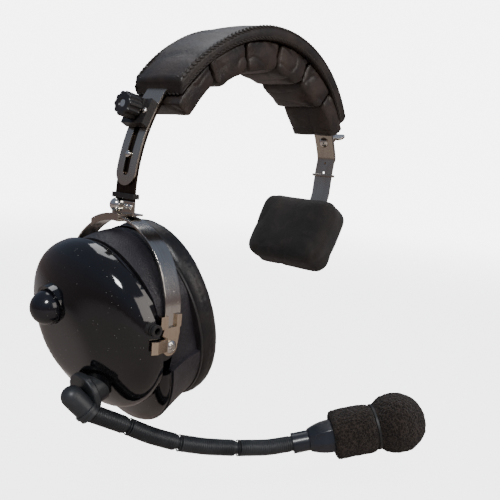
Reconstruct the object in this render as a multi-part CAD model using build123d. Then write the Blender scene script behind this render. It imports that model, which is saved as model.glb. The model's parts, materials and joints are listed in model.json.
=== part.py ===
from build123d import *
import os
from math import atan2, cos, degrees, radians, sin

# Single-sided stage headset with a boom microphone. Millimetres.
# Origin: the top of the wearer's head, which presses the crown cushions in by 2.5 mm.
# +Z up, +Y the way the wearer faces, +X towards the ear cup.

# ---- headband ----
ARC_Z = -80.0                 # every headband arc turns about (0, Y, ARC_Z)
CUSHION_OUT = 95.0
CUSHION_IN = (82.5, 77.8, 77.5, 77.5, 78.0, 82.5)
CUSHION_WIDTH = 37.0
BASE_IN, BASE_OUT = 95.4, 96.9
BAND_IN, BAND_OUT = 97.3, 98.3
COVER_IN, COVER_OUT = 101.0, 103.4
PAD_END = 54.8                # degrees from the crown to each end of the cover
PAD_HALF_CROWN, PAD_HALF_END = 21.5, 18.0
CUSHION_START, CUSHION_STEP = -58.0, 19.4
STRIP_WIDTH = 14.8
SLOT_WIDTH = 4.2
CUP_SLOT = (58.5, 81.0)       # degrees, first and last slot centres
PAD_SLOT = (-58.0, -71.0)

# ---- adjusting arms ----
ARM_IN, ARM_OUT = 95.9, 97.0
CUP_ARM_TOP = 57.2
CLAMP_ANGLE = 62.0
CLAMP_LEAN = 80.0             # degrees from +Z of the clamp screw's axis
GUIDE_ANGLE = 76.0
CUP_ARM_FOOT_Z = -87.3
PAD_ARM_TOP = -59.4
PAD_CLAMP_ANGLE = -64.0

# ---- stirrup and ear cup ----
CUP_X, CUP_Z = 96.0, -147.0   # origin of the ear cup's own frame
CUP_TILT = 16.0
STRAP_X = 97.0
PIVOT_X, PIVOT_Z = 99.0, -146.0
LEG_Y = 40.0                  # middle of the stirrup's sheet at the pivots
SIDE_Y = 38.8                 # flats of the shells beside the stirrup
STRAP_THICK, STRAP_WIDTH = 1.2, 10.2
STRAP_TOP_Z = -87.4
PIVOT_R, PIVOT_BORE_R = 2.0, 2.06
DOME_UP, DOME_R = 8.0, 46.0
DOME_BACK = 10.6
INLET_BORE_R = 1.7
DOME_EDGE, DOME_APEX = 12.0, 34.0
LIP_UP, LIP_HALF_UP, LIP_HALF_Y, LIP_OUT = -1.5, 53.0, 44.0, 4.0
BACK_OUT, BACK_HALF_UP, BACK_HALF_Y = -17.0, 50.0, 42.5
CUSHION_NEAR, CUSHION_FAR = -18.6, -34.0
EAR_UP = -1.5
EAR_HALF_UP, EAR_HALF_Y = 53.0, 41.5
EAR_HOLE_UP, EAR_HOLE_Y = 29.0, 20.0
WALL = 2.4

# ---- talk button and boom ----
BUTTON_UP, BUTTON_Y, BUTTON_OUT = 26.0, -5.0, 34.0
BUTTON_R = 8.6
BUTTON_TRAVEL = 1.6
BOOM_UP, BOOM_Y, BOOM_FACE = -14.7, 14.0, 34.0
BOOM_R, BOOM_BASE_R = 10.5, 8.0
ELBOW_ROOT = (135.2, 15.8, -170.2)  # rounded outer end of the boom's elbow
ELBOW_R = 5.3
NECK_R = 4.1
BALL_R, SOCKET_R, KNUCKLE_HALF = 3.2, 3.5, 1.6
MIC_R, BALL_END_R = 13.6, 16.6

# ---- temple pad ----
TEMPLE_TILT = 30.0
TEMPLE_CENTRE = (-71.0, -8.0, -105.0)
TEMPLE_SIZE = (24.0, 63.0, 50.0)

parts = {}


def station(angle, radius=0.0, y=0.0):
    """Place on the headband arc: local Z points out, local X runs down the cup side."""
    return Pos(0, y, ARC_Z) * Rot(0, angle, 0) * Pos(0, 0, radius)


def on_arc(radius, angle):
    return (radius * sin(radians(angle)), ARC_Z + radius * cos(radians(angle)))


def sector(inner, outer, width, start, end):
    """Curved bar of the headband between two angles, centred on Y = 0."""
    middle = (start + end) / 2
    a, b, c = (on_arc(outer, angle) for angle in (start, middle, end))
    d, e, f = (on_arc(inner, angle) for angle in (end, middle, start))
    outline = ThreePointArc(a, b, c) + Line(c, d) + ThreePointArc(d, e, f) + Line(f, a)
    return extrude(Plane.XZ * make_face(outline), width / 2, both=True)


def pad_plan(inset):
    """Barrel-shaped plan of the head pad, as a tall block to cut with."""
    reach = 95.0
    crown, end = PAD_HALF_CROWN - inset, PAD_HALF_END - 0.6 - inset
    outline = ThreePointArc((-reach, end), (0, crown), (reach, end)) + Line((reach, end), (reach, -end))
    outline += ThreePointArc((reach, -end), (0, -crown), (-reach, -end)) + Line((-reach, -end), (-reach, end))
    return extrude(make_face(outline), 60, both=True)


def slot_cutter(start, end):
    """Long slot through a strip, with round ends."""
    tool = sector(BAND_IN - 2, BAND_OUT + 2, SLOT_WIDTH, min(start, end), max(start, end))
    for angle in (start, end):
        tool += station(angle, BAND_IN) * Cylinder(SLOT_WIDTH / 2, 6)
    return tool


def screw_head(radius, height):
    """Low domed head standing on Z = 0."""
    rim = height * 0.35
    crown = height - rim
    dome = (radius ** 2 + crown ** 2) / (2 * crown)
    ball = Pos(0, 0, height - dome) * Sphere(dome)
    return ball & Pos(0, 0, height / 2) * Cylinder(radius, height)


# ---------------------------------------------------------------- headband
def headband():
    band = sector(BAND_IN, BAND_OUT, STRIP_WIDTH, PAD_SLOT[1], CUP_SLOT[1])
    for angle in (PAD_SLOT[1], CUP_SLOT[1]):
        around = sector(BAND_IN, BAND_OUT, STRIP_WIDTH + 2, angle - 6, angle + 6)
        band += station(angle, BAND_IN) * Cylinder(STRIP_WIDTH / 2, 8) & around
    parts["spring_band"] = band - slot_cutter(*CUP_SLOT) - slot_cutter(*PAD_SLOT)

    cover = sector(COVER_IN, COVER_OUT, 60, -PAD_END, PAD_END) & pad_plan(0)
    rim = cover.edges().filter_by(lambda e: e.length > 150).sort_by(Axis.Z)[-2:]
    parts["pad_cover"] = fillet(rim, 1.8)
    gusset = sector(BASE_OUT, COVER_IN, 60, -PAD_END, PAD_END) & pad_plan(0.4)
    hollow = sector(BASE_OUT - 1, COVER_IN + 1, 60, -PAD_END + 1.3, PAD_END - 1.3) & pad_plan(2.2)
    tunnel = sector(BAND_IN - 0.25, BAND_OUT + 0.25, STRIP_WIDTH + 0.8, -PAD_END - 1, PAD_END + 1)
    parts["pad_gusset"] = gusset - hollow - tunnel
    parts["pad_base"] = sector(BASE_IN, BASE_OUT, 60, -PAD_END - 0.8, PAD_END + 0.8) & pad_plan(0.8)
    parts["pad_foam"] = sector(98.8, 100.8, 60, -PAD_END + 1.6, PAD_END - 1.6) & pad_plan(2.6)
    for index, inside in enumerate(CUSHION_IN):
        start = CUSHION_START + index * CUSHION_STEP
        puff = sector(inside, CUSHION_OUT, CUSHION_WIDTH, start + 0.3, start + CUSHION_STEP - 0.3)
        inner = puff.edges().sort_by(lambda e: (e.center() - Vector(0, 0, ARC_Z)).length)[:4]
        parts[f"crown_cushion_{index + 1}"] = fillet(inner, 3.0)


# ---------------------------------------------------------------- cup-side arm
def strap_curve():
    """Half of the stirrup's middle line in the YZ plane, from the crown to the leg."""
    top = (0, STRAP_TOP_Z - STRAP_THICK / 2)
    return top, (19.5, -93.6), (32.8, -105.6), (39.0, -121.0), (LEG_Y, -135.0)


def strap_sheet(inner, outer, last_z, width):
    """Sheet that follows the stirrup between two offsets from its middle line."""
    def side(offset):
        points = []
        for y, z in strap_curve():
            angle = atan2(y / LEG_Y, (z + 136) / 48)
            points.append((y + offset * sin(angle), z + offset * cos(angle)))
        half = Spline(points, tangents=((1, 0), (0, -1)))
        return points, half
    outer_points, outer_half = side(outer)
    inner_points, inner_half = side(inner)
    foot = Line(outer_points[-1], (outer_points[-1][0], last_z)) + Line(
        (outer_points[-1][0], last_z), (inner_points[-1][0], last_z))
    foot += Line((inner_points[-1][0], last_z), inner_points[-1])
    closing = Line(inner_points[0], outer_points[0])
    face = make_face(outer_half + foot + inner_half + closing)
    half_solid = extrude(Plane.YZ * face, width / 2, both=True)
    return Pos(STRAP_X, 0, 0) * (half_solid + mirror(half_solid, Plane.XZ))


def clamp_frame():
    """Axis of the clamp screw: local Z points out along the screw."""
    x, z = on_arc(BAND_OUT, CLAMP_ANGLE)
    return Pos(x, 0, z) * Rot(0, CLAMP_LEAN, 0)


def cup_arm():
    arc = sector(ARM_IN, ARM_OUT, STRIP_WIDTH, CUP_ARM_TOP, 89.5)
    x, z = on_arc((ARM_IN + ARM_OUT) / 2, 89.0)
    thick = ARM_OUT - ARM_IN
    straight = Pos(x, 0, (z + CUP_ARM_FOOT_Z) / 2) * Box(thick, STRIP_WIDTH, z - CUP_ARM_FOOT_Z)
    frame = clamp_frame()
    bore = frame * Cylinder(2.3, 30)
    parts["cup_arm_strip"] = arc + straight - bore

    block = station(CLAMP_ANGLE + 1.5, BAND_OUT + 0.3) * Pos(0, 0, 2.2) * Box(14, 16.4, 4.4)
    wedge = frame * Pos(0, 0, 2.9) * Box(10, 10, 6.4)
    below = sector(BAND_OUT - 20, BAND_OUT + 0.3, 40, 40, 90)
    block = block + (wedge - below)
    parts["clamp_block"] = block - frame * Cylinder(2.3, 40)
    clamp_rivets = [station(CLAMP_ANGLE + 1.5, BAND_OUT + 4.7, y) * screw_head(1.5, 1.2) for y in (-6.5, 6.5)]
    shank = frame * Pos(0, 0, 1.0) * Cylinder(1.9, 27)
    head = station(CLAMP_ANGLE, ARM_IN) * Cylinder(4.4, 6) & sector(ARM_IN - 1.3, ARM_IN, 20, 50, 75)
    parts["clamp_stud"] = (shank & sector(ARM_IN - 1.2, 140, 40, 40, 100)) + head
    parts["clamp_washer"] = frame * Pos(0, 0, 6.8) * (Cylinder(5.2, 0.8) - Cylinder(2.2, 4))
    parts["guide_rivet"] = (
        station(GUIDE_ANGLE, ARM_OUT + 1.0) * Cylinder(1.8, 2.0)
        + station(GUIDE_ANGLE, ARM_OUT + 2.0) * screw_head(1.8, 1.2))

    strip = parts["cup_arm_strip"]
    parts["keeper_ring"] = Pos(x, 0, -77.2) * Box(4.0, 17.0, 2.6) - strip
    plate_x = x + thick / 2 + 0.6
    plate = Pos(plate_x, 0, -83.3) * Box(1.2, 16.8, 7.4)
    foot = Pos(plate_x - 3.0, 0, -86.5) * Box(7.2, 16.8, 1.0)
    parts["joint_plate"] = plate + foot - strip
    face_x = plate_x + 0.6
    parts["joint_screw"] = Pos(face_x, -4.0, -82.3) * Rot(0, 90, 0) * screw_head(3.6, 4.0)
    joint_rivets = [Pos(face_x, y, -82.4) * Rot(0, 90, 0) * screw_head(1.5, 1.1) for y in (3.2, 6.4)]
    parts["arm_rivets"] = Part() + clamp_rivets + joint_rivets

    strap = strap_sheet(-STRAP_THICK / 2, STRAP_THICK / 2, PIVOT_Z + 7.0, STRAP_WIDTH)
    saddle = strap_sheet(-1.9, 1.9, PIVOT_Z, STRAP_WIDTH + 2.6)
    window = Pos(STRAP_X + 3.6, -7.6, -90) * Box(7.2, 22.0, 16)
    parts["strap_saddle"] = (saddle & window) - strap - parts["joint_plate"] - parts["joint_screw"]
    parts["stirrup_strap"] = strap

    for name, side in (("front", 1), ("rear", -1)):
        parts[f"pivot_bracket_{name}"] = pivot_bracket(side)


def pivot_bracket(side):
    """Folded sheet that grips the end of a stirrup leg and turns on the pivot screw."""
    top, shoulder, tip = 15.5, 6.5, 4.6
    outline = Polyline((-6.6, top), (6.6, top), (6.6, 9.2), (4.4, 9.2), (5.4, shoulder), (tip, 0))
    outline += RadiusArc((tip, 0), (-tip, 0), tip)
    outline += Polyline((-tip, 0), (-5.8, shoulder), (-5.8, 9.2), (-6.6, 9.2), (-6.6, top))
    face = make_face(outline)
    inner, outer = LEG_Y - STRAP_THICK / 2, LEG_Y + STRAP_THICK / 2 + 1.4
    plate = extrude(face, outer - inner)
    plate = Pos(PIVOT_X, inner, PIVOT_Z) * Plane.XZ.location * Pos(0, 0, -(outer - inner)) * plate
    leg = Pos(STRAP_X, LEG_Y, PIVOT_Z + 12) * Box(STRAP_WIDTH, STRAP_THICK, 10.0)
    hook_points = ((5.0, -0.6), (6.2, -0.4), (7.1, 5.4), (14.2, 6.2), (16.6, 5.0))
    hook = extrude(trace(FilletPolyline(*hook_points, radius=0.9), 1.0), 6.0)
    hook = Pos(PIVOT_X, outer, PIVOT_Z + 0.6) * hook
    bore = Pos(PIVOT_X, LEG_Y, PIVOT_Z) * Rot(90, 0, 0) * Cylinder(PIVOT_BORE_R, 30)
    window = Pos(PIVOT_X - 0.8, outer, PIVOT_Z + 13.0) * Box(5.6, 2.8, 7.0)
    bracket = plate + hook - leg - bore - window
    return bracket if side > 0 else mirror(bracket, Plane.XZ)


def clamp_knob():
    frame = clamp_frame()
    knob = Cylinder(6.4, 7.6) - Cylinder(1.96, 20)
    for index in range(10):
        knob -= Rot(0, 0, index * 36) * Pos(7.6, 0, 0) * Cylinder(1.9, 20)
    rim = knob.edges().group_by(Axis.Z)[-1]
    parts["clamp_knob"] = frame * Pos(0, 0, 11.2) * chamfer(rim, 0.5)


# ---------------------------------------------------------------- ear cup
CUP = Pos(CUP_X, 0, CUP_Z) * Rot(0, CUP_TILT, 0)
PIVOT = CUP.inverse() * Pos(PIVOT_X, 0, PIVOT_Z)


def oval(out, up, half_up, half_y):
    """Oval across the cup's axis at a distance out from the pivot line."""
    plane = Plane(origin=(out, 0, up), x_dir=(0, 1, 0), z_dir=(1, 0, 0))
    return plane * Ellipse(half_y, half_up)


def oval_bar(out_a, out_b, up, half_up, half_y):
    return extrude(oval(out_a, up, half_up, half_y), out_b - out_a)


def dome_solid(inset):
    """Turned dome, smaller by inset all round, with its flat back at the edge plane."""
    edge, apex = DOME_R - inset, DOME_APEX - inset
    back = DOME_BACK
    curve = Spline((DOME_EDGE, edge), (DOME_EDGE + 11.0, edge * 0.865), (DOME_EDGE + 18.5, edge * 0.55),
                   (apex, 0), tangents=((1, 0), (0, -1)))
    outline = Line((back, 0), (back, edge)) + Line((back, edge), (DOME_EDGE, edge)) + curve
    outline += Line((apex, 0), (back, 0))
    return Pos(0, 0, DOME_UP) * revolve(Plane.XY * make_face(outline), Axis.X)


def strap_room():
    """Space beside and over the shells that the stirrup sweeps as the cup tilts."""
    inside = [(y - 1.4, (z - CUP_Z) * 0.93) for y, z in strap_curve()]
    crown, shoulder = inside[0], inside[-1]
    half = Spline(inside[1:], tangents=((1, -0.35), (0, -1)))
    outline = Line((0, crown[1]), inside[1]) + half + Line(shoulder, (SIDE_Y, -11))
    outline += Line((SIDE_Y, -11), (80, -11)) + Line((80, -11), (80, 90)) + Line((80, 90), (0, 90))
    outline += Line((0, 90), (0, crown[1]))
    side = extrude(Plane.YZ * make_face(outline), DOME_BACK + 30)
    side = Pos(-30, 0, 0) * side
    return side + mirror(side, Plane.XZ)


def back_solid(inset):
    """Oval body behind the lip, smaller by inset all round."""
    up = (BACK_HALF_UP - inset, 52.8 - inset, LIP_HALF_UP - inset)
    across = (BACK_HALF_Y - inset * 1.6, 42.0 - inset * 1.6, LIP_HALF_Y - inset * 1.6)
    ends = 1.0 if inset else 0.0
    return loft([oval(BACK_OUT - ends, 0, up[0], across[0]), oval(-6.0, -0.5, up[1], across[1]),
                 oval(LIP_OUT + ends, LIP_UP, up[2], across[2])])


def shoulder_solid(inset):
    """Bulge between the lip and the dome, smaller by inset all round."""
    ends = 0.6 if inset else 0.0
    return loft([oval(LIP_OUT + 0.8 - ends, LIP_UP, LIP_HALF_UP - 0.6 - inset, LIP_HALF_Y - 0.6 - inset * 1.6),
                 oval(7.6, 2.0, 50.5 - inset, 44.5 - inset * 1.6),
                 oval(DOME_BACK + ends, DOME_UP, 44.8 - inset, 43.5 - inset * 1.6)])


def ear_cup():
    room = strap_room()
    bosses = Part()
    screws = Part()
    reach = LEG_Y + STRAP_THICK / 2 + 1.46
    root = SIDE_Y - 3.8
    for side in (1, -1):
        bosses += PIVOT * Pos(0, side * (root + SIDE_Y + 0.3) / 2, -1.4) * Rot(90, 0, 0) * Cylinder(
            7.0, SIDE_Y + 0.3 - root)
        shank = PIVOT * Pos(0, side * (root + reach) / 2, 0) * Rot(90, 0, 0) * Cylinder(PIVOT_R, reach - root)
        head = screw_head(3.2, 1.9)
        for turn in (30, 120):
            head -= Rot(0, 0, turn) * Pos(0, 0, 1.9) * Box(4.4, 0.8, 2.0)
        screws += shank + PIVOT * Pos(0, side * reach, 0) * Rot(-90 * side, 0, 0) * head
    parts["pivot_bosses"] = bosses - screws
    parts["pivot_screws"] = screws
    parts["back_housing"] = back_solid(0) - back_solid(WALL) - room - bosses
    parts["shoulder_shell"] = shoulder_solid(0) - shoulder_solid(WALL) - room - bosses - back_solid(0)

    seats = Part()
    for up, y, radius in ((BUTTON_UP, BUTTON_Y, BUTTON_R + 0.3), (BOOM_UP, BOOM_Y, 3.9)):
        seats += Pos(20, y, up) * Rot(0, 90, 0) * Cylinder(radius, 60)
    mouth = Pos(DOME_BACK, 0, DOME_UP) * Rot(0, 90, 0) * Cylinder(DOME_R - WALL, 6)
    parts["dome_cover"] = dome_solid(0) - dome_solid(WALL) - mouth - seats - inlet_bore()

    parts["base_ring"] = oval_bar(BACK_OUT - 1.5, BACK_OUT, 0, BACK_HALF_UP + 1.0, BACK_HALF_Y + 0.6) - oval_bar(
        BACK_OUT - 2, BACK_OUT + 1, 0, EAR_HOLE_UP + 6, EAR_HOLE_Y + 6)
    cushion = oval_bar(CUSHION_FAR, CUSHION_NEAR, EAR_UP, EAR_HALF_UP, EAR_HALF_Y)
    cushion = fillet(cushion.edges(), 6.0)
    parts["ear_cushion"] = cushion - oval_bar(CUSHION_FAR - 1, CUSHION_NEAR + 1, 0, EAR_HOLE_UP, EAR_HOLE_Y)
    parts["ear_foam"] = oval_bar(-22.5, CUSHION_NEAR, 0, EAR_HOLE_UP - 0.6, EAR_HOLE_Y - 0.6)
    baffle = oval_bar(-16.8, -14.8, 0, 44.0, 34.6)
    ports = [(0, 0)] + [(9 * sin(radians(turn)), 9 * cos(radians(turn))) for turn in range(0, 360, 45)]
    for up, y in ports:
        baffle -= Pos(-16, y, up) * Rot(0, 90, 0) * Cylinder(2.0, 10)
    parts["speaker_baffle"] = baffle
    basket = Cylinder(19, 4.6) - Pos(0, 0, -1.2) * Cylinder(17, 4.6)
    parts["speaker_frame"] = Pos(-12.4, 0, 0) * Rot(0, 90, 0) * basket
    parts["speaker_magnet"] = Pos(-7.6, 0, 0) * Rot(0, 90, 0) * Cylinder(11, 4.8)
    parts["chamber_foam"] = Pos(0.5, 0, -3) * Rot(0, 90, 0) * Cylinder(28, 9)

    parts["cable_inlet"] = cable_inlet()
    parts["button_bezel"] = button_bezel()
    parts["talk_switch"] = Pos(16.0, BUTTON_Y, BUTTON_UP) * Box(9, 9, 9)
    parts["boom_base"] = boom_base()
    for name in CUP_NODES:
        parts[name] = CUP * parts[name]


CUP_NODES = ("back_housing", "shoulder_shell", "dome_cover", "pivot_bosses", "pivot_screws", "base_ring",
             "ear_cushion", "ear_foam", "speaker_baffle", "speaker_frame", "speaker_magnet", "chamber_foam",
             "cable_inlet", "button_bezel", "talk_switch", "boom_base", "talk_button")


INLET = Pos(14.4, 43.8, 18.0) * Rot(-90, 0, 0)


def inlet_bore():
    return INLET * Pos(0, 0, 1) * Cylinder(INLET_BORE_R, 18)


def cable_inlet():
    """Ribbed gland on the front of the dome's rim; the cable enters along its bore."""
    gland = Pos(0, 0, 2.9) * Cylinder(2.9, 5.8)
    for level in (2.9, 4.2):
        gland -= Pos(0, 0, level) * (Cylinder(5, 0.5) - Cylinder(2.4, 2))
    return INLET * gland - dome_solid(0) - shoulder_solid(0) - inlet_bore()


def button_bezel():
    """Base ring that the push button's rubber dome stands in."""
    ring = Cylinder(10.4, 5.2) - Cylinder(BUTTON_R + 0.3, 20)
    return Pos(BUTTON_OUT - 3.6, BUTTON_Y, BUTTON_UP) * Rot(0, 90, 0) * ring - dome_solid(0)


def talk_button():
    """Domed push button with a stem that reaches the switch."""
    frame = Pos(0, BUTTON_Y, BUTTON_UP) * Rot(0, 90, 0)
    skirt_end = BUTTON_OUT - 5.4
    stem_end = 20.5 + BUTTON_TRAVEL + 0.3
    skirt = Pos(0, 0, (BUTTON_OUT + skirt_end) / 2) * Cylinder(BUTTON_R, BUTTON_OUT - skirt_end)
    cap = Pos(0, 0, BUTTON_OUT) * Sphere(BUTTON_R) & Pos(0, 0, BUTTON_OUT + 20) * Box(60, 60, 40)
    stem = Pos(0, 0, (stem_end + skirt_end) / 2) * Cylinder(3.0, skirt_end - stem_end)
    parts["talk_button"] = frame * (skirt + cap + stem)


# ---------------------------------------------------------------- boom and microphone
def boom_frame():
    """Boom pivot: local Z points out along the pivot, local X is up."""
    return CUP * Pos(BOOM_FACE, BOOM_Y, BOOM_UP) * Rot(0, 90, 0)


def boom_base():
    """Fixed disc under the boom, with a hollow journal for the boom's stem."""
    place = Pos(BOOM_FACE, BOOM_Y, BOOM_UP) * Rot(0, 90, 0)
    disc = place * Pos(0, 0, -3.2) * Cylinder(BOOM_BASE_R, 5.8) - dome_solid(0)
    journal = place * Pos(0, 0, -7.3) * Cylinder(3.9, 14.0)
    return disc + journal - place * Cylinder(2.56, 60)


# Neck route in the frame of the whole part, from the elbow to the microphone.
NECK = ((129.2, 20.3, -178.1), (110, 26.5, -189), (98.5, 32, -196), (86, 38.5, -201.5), (72.5, 46, -205.5),
        (57.5, 55, -208), (42, 64.5, -209.5), (27, 73, -208.5))
JOINTS = (1, 3, 5)            # places in NECK of the bending knuckles
MIC_TIP = (-15, 116, -193)


def along(a, b):
    """Placement at point a with local Z towards point b."""
    a, b = Vector(a), Vector(b)
    return Plane(origin=a, z_dir=b - a).location


def neck_piece(first, last):
    """Tube between two places of the route, with a ball at its far end and a socket at its near one."""
    near, far = along(NECK[first], NECK[first + 1]), along(NECK[last], NECK[last - 1])
    start = near * Pos(0, 0, KNUCKLE_HALF) if first in JOINTS else near
    stop = far * Pos(0, 0, KNUCKLE_HALF) if last in JOINTS else far
    points = [start.position, *(Vector(p) for p in NECK[first + 1:last]), stop.position]
    path = FilletPolyline(*points, radius=40) if len(points) > 2 else Line(*points)
    tube = sweep(Plane(origin=points[0], z_dir=points[1] - points[0]) * Circle(NECK_R), path)
    if first in JOINTS:
        tube -= near * Sphere(SOCKET_R)
    if last in JOINTS:
        tube += far * Sphere(BALL_R)
    return tube


def boom():
    frame = boom_frame()
    disc = frame * Pos(0, 0, 2.0) * Cylinder(BOOM_R, 3.4)
    stem = frame * Pos(0, 0, -6.6) * Cylinder(2.5, 14.0)
    bar = frame * Rot(0, 0, 25) * Pos(3.0, -1.0, 4.6) * Box(13, 2.4, 2.0)
    hub = fillet(disc.edges().filter_by(GeomType.CIRCLE), 0.9) + stem + bar
    root, end = Vector(*ELBOW_ROOT), Vector(*NECK[0])
    place, reach = along(root, end), (end - root).length
    barrel = place * (Pos(0, 0, reach / 2 - 0.5) * Cylinder(ELBOW_R, reach - 1) + Sphere(ELBOW_R - 0.05))
    collar = place * Pos(0, 0, reach - 1.0) * Cylinder(ELBOW_R + 0.7, 1.6)
    collar += place * Pos(0, 0, reach + 0.9) * Cylinder(ELBOW_R + 0.2, 2.4)
    route = (0, *JOINTS, len(NECK) - 1)
    for index, (first, last) in enumerate(zip(route, route[1:])):
        parts[f"gooseneck_{index + 1}"] = neck_piece(first, last)
    first_length = parts["gooseneck_1"]
    parts["boom_elbow"] = barrel - hub - collar - first_length
    parts["elbow_collar"] = collar - first_length
    parts["boom_hub"] = hub - collar - first_length


def microphone():
    frame = along(NECK[-1], MIC_TIP)
    parts["mic_collar"] = frame * Pos(0, 0, 2.7) * Cylinder(5.6, 9.4) - parts["gooseneck_4"]
    taper = loft([Pos(0, 0, 7.4) * RegularPolygon(6.4, 8), Pos(0, 0, 17.0) * RegularPolygon(9.2, 8),
                  Pos(0, 0, 24.0) * RegularPolygon(9.2, 8)])
    parts["mic_housing"] = frame * taper
    parts["mic_capsule"] = frame * Pos(0, 0, 29.0) * Cylinder(8.6, 10.0)
    sleeve = Pos(0, 0, 34.5) * Cylinder(MIC_R, 27.0)
    ball = Pos(0, 0, 58.0) * Sphere(BALL_END_R)
    screen = sleeve + ball - Pos(0, 0, 45.6) * (Cylinder(30, 3.0) - Cylinder(11.5, 10))
    room = Pos(0, 0, 27.6) * Cylinder(9.5, 13.4) + Pos(0, 0, 20) * Cylinder(9.5, 4)
    parts["windscreen"] = frame * (screen - room)
    parts["windscreen_band"] = frame * Pos(0, 0, 45.6) * (Cylinder(12.6, 1.6) - Cylinder(11.5, 6))


# ---------------------------------------------------------------- pad-side arm and temple pad
def temple_frame():
    """Temple pad: local X points at the head, local Z up along the pad's face."""
    return Pos(*TEMPLE_CENTRE) * Rot(0, -TEMPLE_TILT, 0)


def pad_arm():
    arc = sector(ARM_IN, ARM_OUT, STRIP_WIDTH, -72.0, PAD_ARM_TOP)
    thick = ARM_OUT - ARM_IN
    x, z = on_arc((ARM_IN + ARM_OUT) / 2, -71.9)
    foot = temple_frame() * Pos(-5.6, -TEMPLE_CENTRE[1], 6.0)
    bend = (x + 1.6, z - 10)
    line = Polyline((x, z), bend, (-88.6, -76.0), (foot.position.X, foot.position.Z))
    ribbon = extrude(Plane.XZ * trace(line, thick), STRIP_WIDTH / 2, both=True)
    strip = arc + ribbon
    clamp = station(PAD_CLAMP_ANGLE)
    strip -= clamp * Pos(0, 0, 96) * Cylinder(2.3, 10)
    for hole_z in (-53.0, -60.0):
        strip -= Pos(-89, 0, hole_z) * Rot(0, 90, 0) * Cylinder(0.9, 20)
    parts["pad_arm_strip"] = strip
    parts["pad_clamp_screw"] = clamp * (Pos(0, 0, ARM_IN) * Rot(180, 0, 0) * screw_head(
        3.6, 2.6) + Pos(0, 0, 102.0) * Cylinder(1.9, 12.2)) - strip
    slope = degrees(atan2(-88.6 - bend[0], bend[1] + 76.0))
    ring = Pos(bend[0] + 0.1, 0, bend[1] - 2.0) * Rot(0, -slope, 0)
    parts["pad_keeper_ring"] = ring * Box(4.0, 17.4, 1.8) - strip

    block = Box(*TEMPLE_SIZE)
    block = fillet(block.edges().filter_by(Axis.X), 9.0)
    block = fillet(block.edges().group_by(Axis.X)[-1], 6.0)
    block = fillet(block.edges().group_by(Axis.X)[0], 4.0)
    middle = -TEMPLE_CENTRE[1]
    plate = Pos(-7.4, middle, 0) * Box(1.4, 36, 38)
    pocket = Pos(-5.2, middle, 15) * Box(6.0, STRIP_WIDTH + 1.2, 60)
    parts["temple_pad"] = temple_frame() * (block - plate - pocket) - strip
    parts["temple_plate"] = temple_frame() * plate - strip


def wing_nut():
    clamp = station(PAD_CLAMP_ANGLE, BAND_OUT + 1.6)
    hub = Pos(0, 0, 3.2) * Cylinder(4.4, 6.0)
    wings = Pos(0, 0, 7.0) * Box(1.8, 21.0, 8.0)
    wings = fillet(wings.edges().filter_by(Axis.X), 3.2)
    parts["wing_nut"] = clamp * (hub + wings - Cylinder(1.96, 40))


headband()
cup_arm()
clamp_knob()
talk_button()
ear_cup()
boom()
microphone()
pad_arm()
wing_nut()

os.makedirs("parts", exist_ok=True)
for name, solid in parts.items():
    solid.label = name
    export_step(solid, f"parts/{name}.step")
    print(name, len(solid.solids()), round(solid.volume, 1))
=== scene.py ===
import json
import math

import bpy
from mathutils import Matrix, Vector, noise


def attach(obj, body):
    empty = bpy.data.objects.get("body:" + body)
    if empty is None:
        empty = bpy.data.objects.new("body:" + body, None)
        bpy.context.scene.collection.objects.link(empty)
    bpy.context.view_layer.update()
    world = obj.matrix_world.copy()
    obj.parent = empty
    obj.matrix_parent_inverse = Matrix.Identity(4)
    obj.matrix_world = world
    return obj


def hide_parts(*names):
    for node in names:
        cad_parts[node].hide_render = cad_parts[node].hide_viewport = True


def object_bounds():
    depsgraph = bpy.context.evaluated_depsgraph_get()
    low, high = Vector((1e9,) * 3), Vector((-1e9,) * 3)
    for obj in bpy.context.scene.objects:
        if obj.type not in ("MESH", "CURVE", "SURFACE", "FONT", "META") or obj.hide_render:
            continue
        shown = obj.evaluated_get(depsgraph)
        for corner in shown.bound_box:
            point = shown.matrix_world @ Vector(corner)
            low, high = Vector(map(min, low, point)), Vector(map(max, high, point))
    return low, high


bl_info = {
    "name": "Stage headset builder",
    "version": (1, 0, 0),
    "blender": (4, 5, 0),
    "location": "3D View > Sidebar > Headset",
    "description": "Makes the soft parts, fine hardware and finishes of a single-sided stage headset",
    "category": "Object",
}

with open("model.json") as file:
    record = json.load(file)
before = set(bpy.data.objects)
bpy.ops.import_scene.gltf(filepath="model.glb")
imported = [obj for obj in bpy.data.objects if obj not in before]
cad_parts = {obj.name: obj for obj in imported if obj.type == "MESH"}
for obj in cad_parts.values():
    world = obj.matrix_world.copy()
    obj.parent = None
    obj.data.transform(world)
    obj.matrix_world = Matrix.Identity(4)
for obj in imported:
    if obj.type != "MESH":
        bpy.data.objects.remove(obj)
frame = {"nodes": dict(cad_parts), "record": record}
CAD_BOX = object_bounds()
BODY_OF = {node: body for body, nodes in frame["record"]["behaviour"]["bodies"].items() for node in nodes}

MM = 0.001
PAD_END = 54.8                              # degrees from the crown to each end of the cover
PAD_HALF_CROWN, PAD_HALF_END = 21.5, 17.6   # half widths of the cover, mm
CUSHION_START, CUSHION_STEP, CUSHION_HALF = -58.0, 19.4, 18.5
CUP_TILT = math.radians(16)
CUP = Matrix.Translation(Vector((96, 0, -147)) * MM) @ Matrix.Rotation(CUP_TILT, 4, "Y")
NECK = ((129.2, 20.3, -178.1), (110, 26.5, -189), (98.5, 32, -196), (86, 38.5, -201.5), (72.5, 46, -205.5),
        (57.5, 55, -208), (42, 64.5, -209.5), (27, 73, -208.5))
MIC_TIP = (-15, 116, -193)
NECK_RUNS = (("boom", 0, 1), ("neck_lower", 1, 3), ("neck_middle", 3, 5), ("microphone", 5, 7))


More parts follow.
